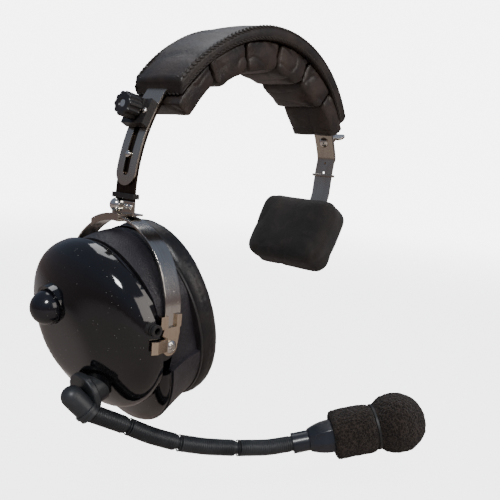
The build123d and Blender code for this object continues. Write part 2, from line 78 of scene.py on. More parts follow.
# ---------------------------------------------------------------- small tools
def clear():
    """Leaves object mode with nothing selected."""
    if bpy.context.object and bpy.context.object.mode != "OBJECT":
        bpy.ops.object.mode_set(mode="OBJECT")
    bpy.ops.object.select_all(action="DESELECT")


def only(piece):
    clear()
    piece.select_set(True)
    bpy.context.view_layer.objects.active = piece
    return piece


def modified(piece, kind, **settings):
    """Adds a modifier with its settings and applies it."""
    only(piece)
    modifier = piece.modifiers.new(kind.lower(), kind)
    for key, value in settings.items():
        setattr(modifier, key, value)
    bpy.ops.object.modifier_apply(modifier=modifier.name)
    return piece


def smooth(piece, degrees=35):
    only(piece)
    bpy.ops.object.shade_smooth_by_angle(angle=math.radians(degrees))
    return piece


def settled(piece):
    """Puts the place, turn and scale of a piece into its mesh."""
    only(piece)
    bpy.ops.object.transform_apply(location=True, rotation=True, scale=True)
    return piece


def outward(piece):
    only(piece)
    bpy.ops.object.mode_set(mode="EDIT")
    bpy.ops.mesh.select_all(action="SELECT")
    bpy.ops.mesh.normals_make_consistent(inside=False)
    bpy.ops.object.mode_set(mode="OBJECT")
    return piece


def joined(pieces):
    """One piece from several."""
    clear()
    for piece in pieces:
        piece.select_set(True)
    bpy.context.view_layer.objects.active = pieces[0]
    bpy.ops.object.join()
    return bpy.context.object


def cad_copy(node):
    """Loose copy of a CAD piece's mesh, with its doubled corners merged."""
    clear()
    piece = bpy.data.objects.new(node + "_made", frame["nodes"][node].data.copy())
    piece.data.materials.clear()
    bpy.context.scene.collection.objects.link(piece)
    only(piece)
    bpy.ops.object.mode_set(mode="EDIT")
    bpy.ops.mesh.select_all(action="SELECT")
    bpy.ops.mesh.remove_doubles(threshold=0.002 * MM)
    bpy.ops.object.mode_set(mode="OBJECT")
    return piece


def tube_form(along, around, place):
    """Closed form from a cylinder: place(u, turn) sets each point, u along from 0 to 1."""
    clear()
    bpy.ops.mesh.primitive_cylinder_add(vertices=around, radius=1, depth=1, end_fill_type="NGON")
    piece = bpy.context.object
    bpy.ops.object.mode_set(mode="EDIT")
    bpy.ops.mesh.select_all(action="DESELECT")
    bpy.ops.object.mode_set(mode="OBJECT")
    points = piece.data.vertices
    for edge in piece.data.edges:
        a, b = (points[index].co for index in edge.vertices)
        edge.select = abs(a.z - b.z) > 0.5
    bpy.ops.object.mode_set(mode="EDIT")
    bpy.ops.mesh.select_mode(type="EDGE")
    bpy.ops.mesh.subdivide(number_cuts=along - 1)
    bpy.ops.mesh.select_mode(type="VERT")
    bpy.ops.object.mode_set(mode="OBJECT")
    for point in piece.data.vertices:
        turn = math.atan2(point.co.y, point.co.x) / math.tau % 1
        point.co = place(min(max(point.co.z + 0.5, 0), 1), turn)
    return outward(piece)


def rounded(turn, half_a, half_b, radius):
    """Point of a rounded rectangle, a share of the way round it, from the middle of its +a side."""
    straight_a, straight_b = half_a - radius, half_b - radius
    quarter = radius * math.pi / 2
    whole = 4 * (straight_a + straight_b + quarter)
    at = turn * whole
    sides = ((1, 0, straight_b, half_a, straight_b), (0, 1, 2 * straight_a, half_b, straight_a),
             (-1, 0, 2 * straight_b, half_a, straight_b), (0, -1, 2 * straight_a, half_b, straight_a),
             (1, 0, straight_b, half_a, straight_b))
    for index, (na, nb, length, reach, span) in enumerate(sides):
        if at <= length or index == 4:
            run = at - (0 if index == 0 else span)
            run = at - span if index == 4 else run
            return (reach * na - run * nb, reach * nb + run * na)
        at -= length
        if at <= quarter:
            swing = at / radius + math.atan2(nb, na)
            corner_a = straight_a * (1 if na - nb > 0 else -1)
            corner_b = straight_b * (1 if na + nb > 0 else -1)
            return (corner_a + radius * math.cos(swing), corner_b + radius * math.sin(swing))
        at -= quarter
    return (half_a, 0)


def on_band(angle, radius, y):
    """Point on the headband from its angle in degrees, its radius and its place across, in mm."""
    turn = math.radians(angle)
    return Vector((radius * math.sin(turn), y, -80 + radius * math.cos(turn))) * MM


def band_place(co):
    """Angle in degrees, radius and place across, in mm, of a point on the headband."""
    x, z = co.x / MM, co.z / MM + 80
    return math.degrees(math.atan2(x, z)), math.hypot(x, z), co.y / MM


def end_angle(end, radius):
    """Angle of the cover's end, which slants back on the side of the ear cup."""
    return end * PAD_END - max(0, end) * 3.2 * (radius - 95.4) / 8


def pad_half(angle):
    """Half width of the head pad at an angle."""
    return PAD_HALF_CROWN - (PAD_HALF_CROWN - PAD_HALF_END) * (angle / PAD_END) ** 2


def ripple(co, scale, stretch=(1, 1, 1), seed=0.0):
    """Smooth noise between about -1 and 1."""
    at = Vector((co.x * stretch[0], co.y * stretch[1], co.z * stretch[2])) * scale
    return noise.noise(at + Vector((seed, seed * 1.7, seed * 0.6)))


def crease(co, scale, stretch=(1, 1, 1), seed=0.0):
    """Noise that is 1 along thin wandering lines and falls off beside them."""
    return max(0.0, 1 - abs(ripple(co, scale, stretch, seed)) * 5) ** 2


def kept(piece, name, body, finish, replaced=()):
    """Names a finished piece, gives it its finish and puts it on its body."""
    piece.name = name
    piece.data.name = name
    piece.data.materials.clear()
    piece.data.materials.append(FINISHES[finish]())
    settled(piece)
    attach(piece, body)
    if replaced:
        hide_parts(*replaced)
    return piece


def hardware(node, finish, bevel=0.25, segments=2, name=None):
    """Stands for a rigid CAD piece with its edges broken and its curves smooth."""
    piece = cad_copy(node)
    only(piece)
    bpy.ops.object.mode_set(mode="EDIT")
    bpy.ops.mesh.select_all(action="SELECT")
    bpy.ops.mesh.dissolve_limited(angle_limit=math.radians(0.4))
    bpy.ops.object.mode_set(mode="OBJECT")
    if bevel:
        modified(piece, "BEVEL", width=bevel * MM, segments=segments, limit_method="ANGLE",
                 angle_limit=math.radians(38), use_clamp_overlap=True, miter_outer="MITER_ARC")
    smooth(piece, 34)
    modified(piece, "WEIGHTED_NORMAL", keep_sharp=True, weight=60)
    return kept(piece, name or node + "_part", BODY_OF[node], finish, replaced=(node,))


def stuffed(piece, voxel, pressure, cap, pinned, shape=None, frames=20):
    """Swells a soft form by cloth pressure, from a voxel mesh, and keeps each point near its start."""
    modified(piece, "REMESH", mode="VOXEL", voxel_size=voxel * MM)
    points = piece.data.vertices
    if shape:
        for point in points:
            point.co = shape(point.co)
    start = [point.co.copy() for point in points]
    group = piece.vertex_groups.new(name="held")
    group.add([point.index for point in points if pinned(point.co)], 1.0, "REPLACE")
    only(piece)
    modifier = piece.modifiers.new("cloth", "CLOTH")
    cloth = modifier.settings
    cloth.quality = 5
    cloth.mass = 0.15
    cloth.tension_stiffness = 12
    cloth.compression_stiffness = 12
    cloth.bending_stiffness = 0.4
    cloth.use_pressure = True
    cloth.uniform_pressure_force = pressure
    cloth.effector_weights.gravity = 0
    cloth.vertex_group_mass = "held"
    modifier.point_cache.frame_end = frames
    for step in range(1, frames + 1):
        bpy.context.scene.frame_set(step)
    bpy.ops.object.modifier_apply(modifier=modifier.name)
    bpy.context.scene.frame_set(1)
    piece.vertex_groups.clear()
    for point, before in zip(piece.data.vertices, start):
        moved = point.co - before
        if moved.length > cap * MM:
            point.co = before + moved * (cap * MM / moved.length)
    modified(piece, "SMOOTH", factor=0.5, iterations=2)
    modified(piece, "SUBSURF", levels=1, render_levels=1)
    return piece


def pushed(piece, height):
    """Moves each point along its normal by height(point), in mm."""
    normals = [point.normal.copy() for point in piece.data.vertices]
    for point, normal in zip(piece.data.vertices, normals):
        point.co = point.co + normal * height(point.co) * MM
    return piece


# ---------------------------------------------------------------- shader tools
class Value:
    """A shader socket that adds Math nodes as Python works on it."""

    def __init__(self, surface, socket):
        self.surface = surface
        self.socket = socket

    def math(self, operation, *values):
        return self.surface.node("ShaderNodeMath", {"operation": operation}, *values)

    def __add__(self, other):
        return self.math("ADD", self, other)

    def __radd__(self, other):
        return self.math("ADD", other, self)

    def __sub__(self, other):
        return self.math("SUBTRACT", self, other)

    def __rsub__(self, other):
        return self.math("SUBTRACT", other, self)

    def __mul__(self, other):
        return self.math("MULTIPLY", self, other)

    def __rmul__(self, other):
        return self.math("MULTIPLY", other, self)

    def __truediv__(self, other):
        return self.math("DIVIDE", self, other)

    def __pow__(self, other):
        return self.math("POWER", self, other)

    def __abs__(self):
        return self.math("ABSOLUTE", self)

    def step(self, low, high):
        """0 below low, 1 above high, and smooth between."""
        return self.surface.node("ShaderNodeMapRange", {"interpolation_type": "SMOOTHSTEP"}, self, low, high)


class Surface:
    """One material: a Principled shader and the nodes that feed it."""

    def __init__(self, name):
        self.material = bpy.data.materials.new(name)
        self.material.use_nodes = True
        self.tree = self.material.node_tree
        self.tree.nodes.clear()
        self.shader = self.tree.nodes.new("ShaderNodeBsdfPrincipled")
        output = self.tree.nodes.new("ShaderNodeOutputMaterial")
        self.tree.links.new(self.shader.outputs[0], output.inputs[0])
        self.place = self.node("ShaderNodeTexCoord", {}, output="Object")

    def feed(self, socket, value):
        if isinstance(value, Value):
            self.tree.links.new(value.socket, socket)
        elif isinstance(value, (tuple, list)) and socket.type == "RGBA":
            socket.default_value = (*value[:3], 1.0)
        else:
            socket.default_value = value

    def node(self, kind, settings, *values, output=0, **named):
        made = self.tree.nodes.new(kind)
        for key, value in settings.items():
            setattr(made, key, value)
        for socket, value in zip(made.inputs, values):
            self.feed(socket, value)
        for key, value in named.items():
            self.feed(made.inputs[key.replace("_", " ").title()], value)
        return Value(self, made.outputs[output])

    def stretched(self, scale):
        """Object place with each axis scaled on its own."""
        return self.node("ShaderNodeMapping", {"vector_type": "POINT"}, self.place, scale=scale)

    def noise(self, scale, detail=3.0, roughness=0.55, place=None, distortion=0.0):
        return self.node("ShaderNodeTexNoise", {}, vector=place or self.place, scale=scale, detail=detail,
                         roughness=roughness, distortion=distortion)

    def cells(self, scale, feature="F1", place=None, randomness=1.0):
        return self.node("ShaderNodeTexVoronoi", {"feature": feature}, vector=place or self.place, scale=scale,
                         randomness=randomness)

    def mix(self, a, b, factor):
        made = self.tree.nodes.new("ShaderNodeMix")
        made.data_type = "RGBA"
        self.feed(made.inputs[0], factor)
        self.feed(made.inputs[6], a)
        self.feed(made.inputs[7], b)
        return Value(self, made.outputs[2])

    def bump(self, height, distance, strength=1.0, normal=None):
        """Normal from a height between 0 and 1, with distance in mm."""
        made = self.node("ShaderNodeBump", {}, strength=strength, distance=distance * MM, height=height)
        if normal:
            self.feed(made.socket.node.inputs["Normal"], normal)
        return made

    def finished(self, **sockets):
        for key, value in sockets.items():
            name = {"ior_level": "Specular IOR Level"}.get(key, key.replace("_", " ").title())
            self.feed(self.shader.inputs[name], value)
        return self.material


FINISHES = {}


def finish(make):
    """Registers a finish, which is then made once and shared."""
    made = []

    def shared():
        if not made:
            made.append(make())
        return made[0]
    FINISHES[make.__name__] = shared
    return shared


def leather(name, dark, warm, grain, rough, wrinkle):
    surface = Surface(name)
    pores = surface.cells(grain)
    folds = surface.noise(grain * 0.16, 5.0, 0.6, distortion=0.6)
    patches = surface.noise(70.0, 4.0)
    hair = surface.noise(grain * 3.2, 2.0)
    worn = folds.step(0.56, 0.72)
    colour = surface.mix(dark, warm, patches.step(0.35, 0.7) * 0.7 + worn * 0.3)
    normal = surface.bump(folds, wrinkle, 0.7)
    normal = surface.bump(pores * 0.8 + hair * 0.2, 0.12, 0.55, normal)
    roughness = rough + (patches - 0.5) * 0.22 + pores * 0.1 - worn * 0.06
    return surface.finished(base_color=colour, roughness=roughness, normal=normal, ior_level=0.45)


def brushed(name, colour, tint, stretch, rough, depth=0.03):
    surface = Surface(name)
    streak = surface.noise(1.0, 4.0, 0.7, surface.stretched(stretch))
    broad = surface.noise(45.0, 3.0, 0.5)
    spots = surface.noise(900.0, 2.0)
    shade = surface.mix(colour, tint, streak.step(0.3, 0.75) * 0.6 + broad.step(0.45, 0.75) * 0.4)
    roughness = rough + (streak - 0.5) * rough * 0.8 + spots.step(0.62, 0.8) * 0.16 + (broad - 0.5) * 0.12
    normal = surface.bump(streak, depth, 0.5)
    return surface.finished(base_color=shade, roughness=roughness, metallic=1.0, normal=normal)


def moulded(name, dark, light, rough, grain, depth, level=0.5, coat=0.0, specks=0.0):
    surface = Surface(name)
    skin = surface.noise(grain, 3.0, 0.6)
    patches = surface.noise(38.0, 3.0)
    dust = surface.cells(620.0)
    lone = surface.noise(160.0, 1.0).step(0.5, 0.62)
    speck = (1 - dust.step(0.05, 0.1)) * lone * specks
    colour = surface.mix(surface.mix(dark, light, patches.step(0.35, 0.75)), (0.5, 0.48, 0.45), speck)
    roughness = rough + (patches - 0.5) * rough * 0.5 + (skin - 0.5) * 0.08 + speck * 0.4
    normal = surface.bump(skin, depth, 0.6)
    return surface.finished(base_color=colour, roughness=roughness, normal=normal, ior_level=level,
                            coat_weight=coat, coat_roughness=0.04)


@finish
def cover_leather():
    return leather("cover_leather", (0.016, 0.013, 0.012), (0.045, 0.032, 0.025), 760.0, 0.42, 0.5)


@finish
def cushion_leather():
    return leather("cushion_leather", (0.022, 0.017, 0.015), (0.06, 0.042, 0.032), 1100.0, 0.33, 0.35)


@finish
def ear_vinyl():
    return leather("ear_vinyl", (0.008, 0.008, 0.009), (0.028, 0.022, 0.019), 1400.0, 0.34, 0.22)


@finish
def temple_skin():
    surface = Surface("temple_skin")
    cells = surface.cells(1900.0)
    folds = surface.noise(95.0, 5.0, 0.62, distortion=0.8)
    patches = surface.noise(40.0, 3.0)
    blend = patches.step(0.3, 0.75) * 0.6 + folds.step(0.5, 0.7) * 0.4
    colour = surface.mix((0.010, 0.009, 0.008), (0.032, 0.025, 0.021), blend)
    normal = surface.bump(folds, 0.6, 0.5)
    normal = surface.bump(cells, 0.14, 0.7, normal)
    return surface.finished(base_color=colour, roughness=0.74 + (folds - 0.5) * 0.2, normal=normal, ior_level=0.3,
                            sheen_weight=0.12)


@finish
def thread():
    surface = Surface("thread")
    twist = surface.noise(2600.0, 3.0, 0.6)
    colour = surface.mix((0.012, 0.010, 0.009), (0.055, 0.042, 0.034), twist.step(0.4, 0.7))
    return surface.finished(base_color=colour, roughness=0.5 + twist * 0.2, normal=surface.bump(twist, 0.1, 0.8))


@finish
def band_steel():
    return brushed("band_steel", (0.52, 0.47, 0.40), (0.36, 0.31, 0.26), (16.0, 2600.0, 16.0), 0.25)


@finish
def strap_steel():
    return brushed("strap_steel", (0.58, 0.55, 0.50), (0.46, 0.42, 0.37), (2200.0, 16.0, 16.0), 0.15, 0.008)


@finish
def bracket_steel():
    return brushed("bracket_steel", (0.66, 0.55, 0.43), (0.50, 0.38, 0.27), (1700.0, 60.0, 40.0), 0.18, 0.015)


@finish
def dark_steel():
    return brushed("dark_steel", (0.030, 0.022, 0.018), (0.09, 0.06, 0.045), (40.0, 1500.0, 40.0), 0.34)


@finish
def plated_steel():
    return brushed("plated_steel", (0.78, 0.75, 0.70), (0.58, 0.53, 0.47), (500.0, 500.0, 500.0), 0.17, 0.05)


@finish
def shell_gloss():
    return moulded("shell_gloss", (0.0035, 0.0035, 0.0045), (0.007, 0.006, 0.007),
                   0.085, 900.0, 0.012, 0.5, 0.35, 0.8)


@finish
def shell_pebbled():
    surface = Surface("shell_pebbled")
    pebbles = surface.cells(1150.0)
    fine = surface.noise(4200.0, 2.0)
    patches = surface.noise(60.0, 4.0)
    blend = pebbles.step(0.1, 0.6) * 0.5 + patches.step(0.4, 0.7) * 0.5
    colour = surface.mix((0.010, 0.0095, 0.012), (0.034, 0.030, 0.036), blend)
    normal = surface.bump(pebbles * 0.8 + fine * 0.2, 0.3, 0.9)
    return surface.finished(base_color=colour, roughness=0.42 + (fine - 0.5) * 0.25, normal=normal)


@finish
def black_plastic():
    return moulded("black_plastic", (0.010, 0.010, 0.011), (0.024, 0.021, 0.020),
                   0.36, 1500.0, 0.05, 0.5, 0.0, 0.25)


@finish
def boom_plastic():
    return moulded("boom_plastic", (0.016, 0.018, 0.020), (0.034, 0.037, 0.041),
                   0.40, 1800.0, 0.05, 0.5, 0.0, 0.2)


@finish
def mic_plastic():
    return moulded("mic_plastic", (0.012, 0.013, 0.017), (0.026, 0.030, 0.040),
                   0.30, 1300.0, 0.05, 0.5, 0.1, 0.3)


@finish
def boot_rubber():
    return moulded("boot_rubber", (0.006, 0.006, 0.009), (0.016, 0.015, 0.020),
                   0.16, 700.0, 0.05, 0.5, 0.25, 0.8)


@finish
def black_rubber():
    return moulded("black_rubber", (0.010, 0.010, 0.010), (0.024, 0.022, 0.021), 0.48, 1700.0, 0.06)


@finish
def neck_sleeve():
    surface = Surface("neck_sleeve")
    fine = surface.noise(2400.0, 3.0)
    patches = surface.noise(52.0, 3.0)
    blend = patches.step(0.35, 0.7) * 0.6 + fine.step(0.5, 0.8) * 0.4
    colour = surface.mix((0.018, 0.020, 0.022), (0.050, 0.053, 0.057), blend)
    return surface.finished(base_color=colour, roughness=0.40 + (fine - 0.5) * 0.2, metallic=0.25,
                            normal=surface.bump(fine, 0.04, 0.6))


def foam(name, dark, light, scale, depth):
    """Open-cell foam: pits with thin webs between them, the pits darkened with painted shade."""
    surface = Surface(name)
    pits = surface.cells(scale)
    small = surface.cells(scale * 2.3)
    patches = surface.noise(110.0, 3.0)
    web = pits.step(0.25, 0.75) * 0.65 + small.step(0.3, 0.8) * 0.35
    # painted shade: the dark colour fills the pits, where shade falls, and random patches vary the tone
    colour = surface.mix(dark, light, web * 0.8 + (patches - 0.5) * 0.5)
    normal = surface.bump(web, depth, 1.0)
    return surface.finished(base_color=colour, roughness=0.92, normal=normal, ior_level=0.2, sheen_weight=0.08)


@finish
def screen_foam():
    # first colour: painted shade in the pits, and the dark tone of the patches
    return foam("screen_foam", (0.007, 0.005, 0.004), (0.060, 0.044, 0.035), 820.0, 0.8)


@finish
def ear_foam():
    # first colour: painted shade in the pits, and the dark tone of the patches
    return foam("ear_foam", (0.006, 0.006, 0.006), (0.040, 0.040, 0.042), 900.0, 0.6)


# ---------------------------------------------------------------- sizes and colours a user may change
class HeadPadSettings(bpy.types.PropertyGroup):
    stitch_pitch: bpy.props.FloatProperty(
        name="Stitch pitch", description="Distance between two stitches of the cover's edge",
        default=2.9 * MM, min=1.5 * MM, unit="LENGTH")
    seam_pucker: bpy.props.FloatProperty(
        name="Seam pucker", description="How far the leather dips at each stitch", default=0.32 * MM, unit="LENGTH")
    cushion_crown: bpy.props.FloatProperty(
        name="Cushion crown", description="Share of a cushion's height left at its edges", default=0.80, subtype="FACTOR")
    cushion_pressure: bpy.props.FloatProperty(
        name="Cushion pressure", description="Pressure inside the cushions while they are stuffed", default=4.0)


class MicrophoneSettings(bpy.types.PropertyGroup):
    rib_pitch: bpy.props.FloatProperty(
        name="Rib pitch", description="Distance between two ribs of the gooseneck", default=1.25 * MM, unit="LENGTH")
    rib_height: bpy.props.FloatProperty(
        name="Rib height", description="How far a rib stands out of the tube", default=0.28 * MM, unit="LENGTH")
    foam_roughness: bpy.props.FloatProperty(
        name="Foam roughness", description="Depth of the windscreen's lumps", default=0.35 * MM, unit="LENGTH")


class StageSettings(bpy.types.PropertyGroup):
    floor_colour: bpy.props.FloatVectorProperty(
        name="Floor colour", description="Colour of the floor", subtype="COLOR", default=(0.93, 0.93, 0.92), size=3)
    floor_gap: bpy.props.FloatProperty(
        name="Floor gap", description="Height of the lowest piece over the floor", default=30 * MM, unit="LENGTH")
    key_power: bpy.props.FloatProperty(
        name="Key power", description="Power of the main soft light", default=9.0, subtype="POWER")


# ---------------------------------------------------------------- head pad
class HEADSET_OT_pad_cover(bpy.types.Operator):
    """Leather cover of the headband, puckered along its two stitched edges"""
    bl_idname = "headset.pad_cover"
    bl_label = "Pad cover"

    def execute(self, context):
        settings = context.scene.headset_pad
        pitch = settings.stitch_pitch / MM
        pucker = settings.seam_pucker / MM
        ends = 5

        def place(u, turn):
            ring = u * 220
            edge = min(ring, 220 - ring)
            inset, back = 0.0, 0.0
            if edge < ends:
                swing = edge / ends * math.pi / 2
                inset, back = 1.2 * (1 - math.sin(swing)), 1.2 * (1 - math.cos(swing))
                share = back / 98.0 * 57.3
                angle = PAD_END - 0.0 - share
            else:
                angle = PAD_END - 0.7 - (edge - ends) / (110 - ends) * (PAD_END - 0.7)
            angle = angle if u > 0.5 else -angle
            half = pad_half(angle)
            y, height = rounded(turn, half - inset, 3.9 - inset, 1.1 if not inset else max(0.3, 1.1 - inset))
            if angle > 0:
                angle *= end_angle(1, 99.3 + height) / PAD_END
            across = y / half
            lift = 0.0
            if height > 0:
                lift = 1.0 * (1 - across * across)
                if angle > 8:
                    lift -= 1.6 * min(1, (angle - 8) / 22)
            arc = math.radians(angle) * 100
            near_seam = max(0.0, 1 - abs(abs(y) - half + 1.0) / 2.2) if height > 2.6 else 0.0
            lift += near_seam * (0.35 - pucker * (0.5 + 0.5 * math.cos(math.tau * arc / pitch)))
            side = 0.0
            if abs(abs(y) - half) < 1.2 and abs(height) < 3.4:
                side = -0.55 * (1 - (height / 3.4) ** 2)
            side += 0.25 * max(0.0, 1 - abs(height + 3.2) / 1.2)
            y += math.copysign(side, y)
            co = on_band(angle, 99.3 + height + lift, y)
            if height > 0:
                sag = ripple(co, 34, seed=2.0) * 0.5 + ripple(co, 90, (1, 0.6, 1), seed=5.0) * 0.28
                sag -= crease(co, 26, (1, 0.5, 1), seed=9.0) * 0.35
                fold = abs(angle - 24 - across * 3.2)
                sag -= 0.7 * max(0.0, 1 - fold / 1.6) ** 2 if fold < 1.6 else 0.0
                co = on_band(angle, 99.3 + height + lift + sag, y)
            return co

        piece = tube_form(220, 96, place)
        smooth(piece, 60)
        kept(piece, "pad_cover_leather", "headband", "cover_leather",
             replaced=("pad_cover", "pad_gusset", "pad_base", "pad_foam"))
        return {"FINISHED"}


class HEADSET_OT_pad_stitching(bpy.types.Operator):
    """Two rows of whip stitches round the edge of the pad cover"""
    bl_idname = "headset.pad_stitching"
    bl_label = "Pad stitching"

    def execute(self, context):
        pitch = context.scene.headset_pad.stitch_pitch / MM
        clear()
        bpy.ops.mesh.primitive_uv_sphere_add(segments=8, ring_count=6, radius=1)
        model = bpy.context.object
        for point in model.data.vertices:
            point.co = Vector((point.co.x * 1.75, point.co.y * 0.52, point.co.z * 0.5)) * MM
        stitches = []

        def stitch(angle, radius, y, lean, spin):
            copy = bpy.data.objects.new("stitch", model.data.copy())
            bpy.context.scene.collection.objects.link(copy)
            turn = Matrix.Rotation(math.radians(angle), 4, "Y")
            copy.data.transform(Matrix.Translation(on_band(angle, radius, y)) @ turn @
                                Matrix.Rotation(lean, 4, "X") @ Matrix.Rotation(spin, 4, "Z"))
            stitches.append(copy)

        low, high = -PAD_END + 1, end_angle(1, 103) - 1
        count = int(math.radians(high - low) * 100 / pitch)
        for index in range(count):
            angle = low + (high - low) * (index + 0.5) / count
            half = pad_half(angle)
            drop = 1.6 * min(1, (angle - 8) / 22) if angle > 8 else 0.0
            for side in (1, -1):
                stitch(angle, 103.35 - drop, side * (half - 1.5), 0, 0.35 * side)
                stitch(angle, 102.5 - drop, side * (half + 0.1), -side * 1.2, -0.5)
                stitch(angle, 96.6, side * (half + 0.1), -side * 1.5, -0.5)
        for end in (1, -1):
            for index in range(11):
                y = (index - 5) * 2.9
                drop = 1.6 if end > 0 else 0.0
                stitch(end_angle(end, 103.2) - end * 0.9, 103.2 - drop, y, 0, 1.2 * end)
                stitch(end_angle(end, 96.4) + end * 0.1, 96.4, y, 0, 1.2 * end)
        bpy.data.objects.remove(model)
        piece = joined(stitches)
        smooth(piece, 80)
        kept(piece, "pad_edge_stitches", "headband", "thread")
        return {"FINISHED"}


class HEADSET_OT_crown_cushions(bpy.types.Operator):
    """Row of stuffed leather puffs under the headband"""
    bl_idname = "headset.crown_cushions"
    bl_label = "Crown cushions"

    def execute(self, context):
        settings = context.scene.headset_pad
        for index in range(6):
            node = f"crown_cushion_{index + 1}"
            middle = CUSHION_START + (index + 0.5) * CUSHION_STEP
            half = CUSHION_STEP / 2
            crown = settings.cushion_crown

            def shape(co):
                angle, radius, y = band_place(co)
                t, w = (angle - middle) / half, y / CUSHION_HALF
                puff = (1 - min(1, abs(t)) ** 4) ** 0.5 * (1 - min(1, abs(w)) ** 8) ** 0.5
                height = (95.2 - radius) * (crown + (1 - crown) * puff)
                narrow = 1 - 0.05 * (1 - puff) * min(1, (95 - radius) / 8)
                return on_band(middle + t * half * (0.985 if abs(t) > 0.8 else 1), 95.2 - height, y * narrow)

            piece = stuffed(cad_copy(node), 1.5, settings.cushion_pressure, 1.6,
                            lambda co: band_place(co)[1] > 93.6, shape)

            def wrinkles(co):
                angle, radius, y = band_place(co)
                t, w = abs(angle - middle) / half, abs(y) / CUSHION_HALF
                if radius > 94.4:
                    return 0.0
                rim = max(t, w) ** 3
                lines = crease(co, 75, (1, 0.35, 1), seed=index * 3.1) * 0.45
                across = crease(co, 60, (0.4, 1.2, 0.4), seed=index * 2.3 + 7) * 0.35
                soft = ripple(co, 55, seed=index + 0.5) * 0.5
                return soft - (lines + across) * (0.25 + rim)

            pushed(piece, wrinkles)
            smooth(piece, 80)
            kept(piece, f"crown_puff_{index + 1}", "headband", "cushion_leather",
                 replaced=(node,))
        return {"FINISHED"}


# ---------------------------------------------------------------- other soft pieces
class HEADSET_OT_ear_cushion(bpy.types.Operator):
    """Stuffed oval ring round the ear, and the foam inside it"""
    bl_idname = "headset.ear_cushion"
    bl_label = "Ear cushion"

    def execute(self, context):
        inverse = CUP.inverted()

        def held(co):
            return (inverse @ co).x / MM > -20.0

        piece = stuffed(cad_copy("ear_cushion"), 2.2, 3.0, 1.4, held)

        def wrinkles(co):
            local = inverse @ co
            if local.x / MM > -19.5:
                return 0.0
            turn = math.atan2(local.y, local.z)
            radial = max(0.0, math.sin(turn * 37 + 3 * ripple(co, 30, seed=4))) ** 3
            hole = (local.z / (33 * MM)) ** 2 + (local.y / (24 * MM)) ** 2
            inner = max(0.0, 1 - abs(hole - 1.1) / 0.9)
            welt = max(0.0, 1 - abs(local.x / MM + 26.3) / 0.5) if hole > 1.8 else 0.0
            return ripple(co, 42, seed=1) * 0.35 - radial * inner * 0.4 - welt * 0.45

        pushed(piece, wrinkles)
        smooth(piece, 80)
        kept(piece, "ear_cushion_ring", "ear_cup", "ear_vinyl",
             replaced=("ear_cushion",))

        disc = cad_copy("ear_foam")
        modified(disc, "REMESH", mode="VOXEL", voxel_size=1.6 * MM)
        pushed(disc, lambda co: ripple(co, 120, seed=3) * 0.3)
        smooth(disc, 80)
        kept(disc, "ear_foam_disc", "ear_cup", "ear_foam", replaced=("ear_foam",))
        return {"FINISHED"}


class HEADSET_OT_temple_pad(bpy.types.Operator):
    """Soft block that rests over the other ear"""
    bl_idname = "headset.temple_pad"
    bl_label = "Temple pad"

    def execute(self, context):
        place = Matrix.Translation(Vector((-71, -8, -105)) * MM) @ Matrix.Rotation(math.radians(-30), 4, "Y")
        inverse = place.inverted()
        piece = stuffed(cad_copy("temple_pad"), 2.2, 3.0, 1.2, lambda co: (inverse @ co).x < -0.006)

        def creases(co):
            local = inverse @ co
            rim = max(abs(local.y) / 0.0315, abs(local.z) / 0.025)
            fold = crease(co, 38, (1, 1, 0.5), seed=6) * 0.7 * rim ** 2
            dent = 0.5 * max(0.0, 1 - (local.yz.length / 0.02) ** 2) if local.x > 0 else 0.0
            return ripple(co, 36, seed=8) * 0.6 - fold - dent

        pushed(piece, creases)
        smooth(piece, 80)
        kept(piece, "temple_pad_block", "pad_arm", "temple_skin",
             replaced=("temple_pad",))
        return {"FINISHED"}


# ---------------------------------------------------------------- microphone
def mic_place():
    start, tip = Vector(NECK[-1]) * MM, Vector(MIC_TIP) * MM
    return Matrix.Translation(start) @ (tip - start).to_track_quat("Z", "Y").to_matrix().to_4x4()


class HEADSET_OT_windscreen(bpy.types.Operator):
    """Foam windscreen: a sleeve, a tied neck and a ball end"""
    bl_idname = "headset.windscreen"
    bl_label = "Windscreen"

    def execute(self, context):
        depth = context.scene.headset_microphone.foam_roughness / MM
        place = mic_place()
        profile = ((20.9, 9.5), (21.0, 11.6), (21.6, 12.9), (23.0, 13.5), (27.0, 13.6), (33.0, 13.7), (39.0, 13.7),
                   (42.5, 13.4), (44.0, 12.7), (44.9, 12.1), (46.2, 12.1), (47.2, 13.0), (49.0, 14.4), (52.0, 15.7),
                   (55.5, 16.5), (59.0, 16.6), (63.0, 15.9), (66.5, 14.3), (69.5, 12.1), (72.0, 9.2), (73.6, 6.0),
                   (74.4, 2.8), (74.6, 0.6))

        def at(u):
            share = u * (len(profile) - 1)
            index = min(int(share), len(profile) - 2)
            (z0, r0), (z1, r1) = profile[index:index + 2]
            share -= index
            return z0 + (z1 - z0) * share, r0 + (r1 - r0) * share

        def point(u, turn):
            z, radius = at(u)
            swing = turn * math.tau
            return place @ (Vector((radius * math.cos(swing), radius * math.sin(swing), z)) * MM)

        piece = tube_form(22 * 7, 128, point)

        def lumps(co):
            local = place.inverted() @ co
            if local.z < 0.0212:
                return 0.0
            sleeve = 1.0 if local.z < 0.046 else 0.5
            return (ripple(co, 70, seed=3) * 1.5 * sleeve + ripple(co, 260, seed=5) * 0.9
                    + abs(ripple(co, 620, seed=7)) * 1.2) * depth - 0.25

        pushed(piece, lumps)
        smooth(piece, 80)
        kept(piece, "windscreen_foam_cover", "microphone", "screen_foam",
             replaced=("windscreen",))
        return {"FINISHED"}


